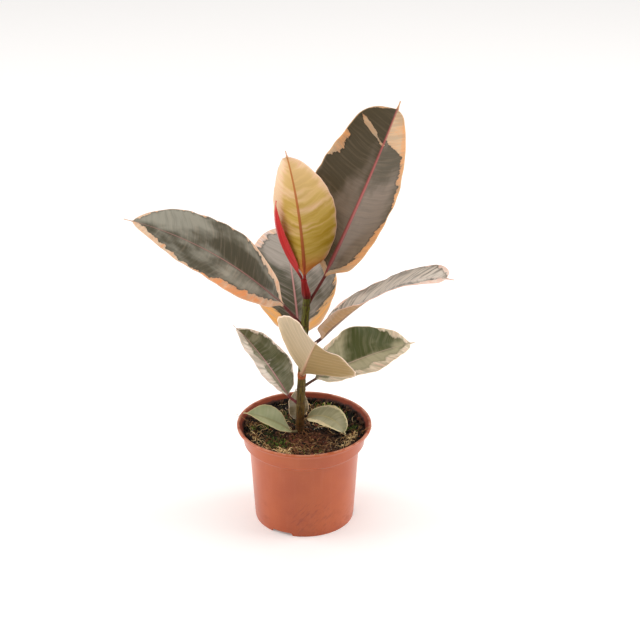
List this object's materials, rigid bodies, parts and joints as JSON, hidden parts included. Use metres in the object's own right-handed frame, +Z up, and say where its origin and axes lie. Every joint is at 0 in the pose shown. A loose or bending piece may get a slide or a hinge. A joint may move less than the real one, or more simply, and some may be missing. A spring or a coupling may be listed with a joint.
{
  "type": "potted rubber plant",
  "caption": "Young variegated rubber plant with broad cream-edged leaves round one upright stem, rooted in dark soil in a round terracotta-coloured nursery pot.",
  "frame": {"origin": "middle of the pot's flat underside, on the surface that the pot stands on", "axes": "+Z up along the stem, +X to the plant's right as seen from its front, +Y away from its front"},
  "size_m": [0.2817, 0.2604, 0.3723],
  "materials": {
    "pot": "satin terracotta-coloured moulded plastic, lightly scuffed near the foot",
    "soil": "moist dark peat with clods, fibres, pale grit and bits of moss",
    "stem": "green-brown young bark, browner and rougher low down, with ring scars",
    "bud": "smooth glossy red bud scale",
    "young_leaf": "soft golden-olive young blade with pink and cream edges",
    "leaf": "waxy dark grey-green blade with a ragged cream and salmon margin and a pink midrib",
    "pale_leaf": "waxy cream-beige underside with fine side veins and a pale rim"
  },
  "bodies": {
    "root": {"pot": "pot", "soil": "soil", "stem": "stem", "bud": "bud", "bud_sheath": "bud", "young_leaf": "young_leaf", "leaf_upper_right": "leaf", "leaf_left": "leaf", "leaf_back": "leaf", "leaf_right": "leaf", "leaf_front": "pale_leaf", "leaf_low_left": "leaf", "leaf_low_right": "leaf", "leaf_soil_left": "leaf", "leaf_soil_right": "leaf", "leaf_soil_back": "leaf"}
  },
  "joints": []
}
